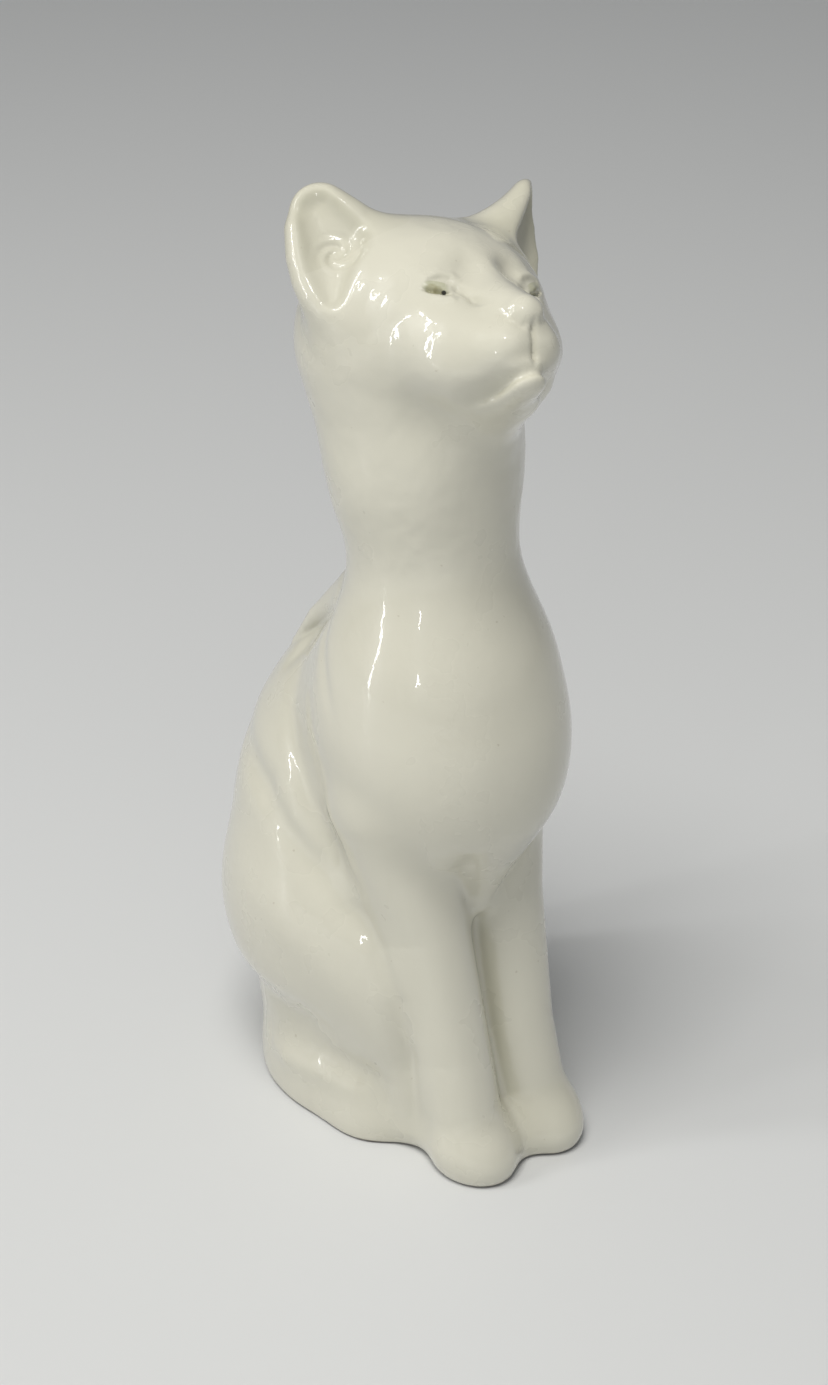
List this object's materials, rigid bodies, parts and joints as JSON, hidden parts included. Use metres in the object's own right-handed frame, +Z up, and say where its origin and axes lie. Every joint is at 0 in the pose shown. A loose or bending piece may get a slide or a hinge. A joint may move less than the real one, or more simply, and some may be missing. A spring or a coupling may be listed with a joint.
{
  "type": "ceramic cat figurine",
  "caption": "Tall slender seated cat in glossy ivory glazed ceramic, head raised and leaning to one side, hollow cast members luted together on a flat standing rim.",
  "frame": {"origin": "middle of the footprint's bounding box, on the standing face", "axes": "+Z up, -Y the way the chest and paws face, +X the cat's own left side"},
  "size_m": [0.0554, 0.0702, 0.1714],
  "materials": {
    "glaze_body": "glossy warm ivory glaze",
    "glaze_head": "glossy warm ivory glaze",
    "glaze_ears": "glossy warm ivory glaze",
    "glaze_limbs": "glossy warm ivory glaze",
    "eye_enamel": "thin greenish-yellow enamel under clear glaze",
    "biscuit": "unglazed matt biscuit"
  },
  "bodies": {
    "root": {"torso_shell": "glaze_body", "head_shell": "glaze_head", "right_ear": "glaze_ears", "left_ear": "glaze_ears", "right_foreleg": "glaze_limbs", "left_foreleg": "glaze_limbs", "right_haunch": "glaze_limbs", "left_haunch": "glaze_limbs", "right_hind_foot": "glaze_limbs", "left_hind_foot": "glaze_limbs", "tail": "glaze_limbs", "right_eye": "eye_enamel", "left_eye": "eye_enamel", "base_plate": "biscuit"}
  },
  "joints": []
}
